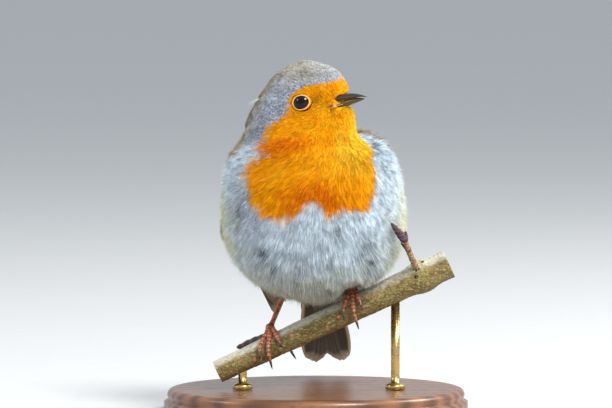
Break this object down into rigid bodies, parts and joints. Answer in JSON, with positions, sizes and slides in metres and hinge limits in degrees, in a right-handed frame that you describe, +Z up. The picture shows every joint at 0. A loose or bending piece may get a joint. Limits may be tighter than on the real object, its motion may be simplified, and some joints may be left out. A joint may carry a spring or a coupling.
{
  "type": "european robin display model",
  "caption": "Fluffed-up European robin gripping a short cut branch, head turned to its left, held over a round base by rods.",
  "frame": {"origin": "centre of the underside of the round stand base, on the floor", "axes": "+Z up; the bird's breast faces -Y and its tail points to +Y and down; its own left, to which its head turns, is +X"},
  "size_m": [0.104, 0.1072, 0.1202],
  "materials": {
    "plumage_orange": "soft orange feathers of the face, throat and breast, matt",
    "plumage_pale": "fluffed blue-white belly feathers with olive-buff flanks, matt",
    "plumage_brown": "olive-brown back and wing feathers with paler edges, matt",
    "tail_feather": "dark grey-brown flight feathers with buff edges, satin",
    "leg_skin": "reddish-brown scaled skin, satin",
    "claw": "dark horn, slightly glossy",
    "bill": "near-black horn with an orange cutting edge, glossy",
    "eye": "very dark brown glass eye, wet gloss",
    "bark": "smooth olive-grey bark with small orange lenticels, matt",
    "bud": "dark purple-brown bud scales, satin",
    "rod": "brushed brass, satin",
    "base_wood": "turned dark walnut, waxed"
  },
  "bodies": {
    "root": {"head": "plumage_orange", "neck": "plumage_orange", "trunk": "plumage_pale", "wing_left": "plumage_brown", "wing_right": "plumage_brown", "tail": "tail_feather", "thigh_left": "plumage_pale", "thigh_right": "plumage_pale", "tarsus_left": "leg_skin", "tarsus_right": "leg_skin", "foot_left": "leg_skin", "foot_right": "leg_skin", "eye_left": "eye", "claw_left_inner": "claw", "claw_left_middle": "claw", "claw_left_outer": "claw", "claw_left_hind": "claw", "eye_right": "eye", "claw_right_inner": "claw", "claw_right_middle": "claw", "claw_right_outer": "claw", "claw_right_hind": "claw", "bill_upper": "bill", "bill_lower": "bill", "perch_branch": "bark", "perch_spur": "bud", "perch_bud": "bud", "stand_rod_left": "rod", "stand_rod_right": "rod", "stand_base": "base_wood"}
  },
  "joints": []
}
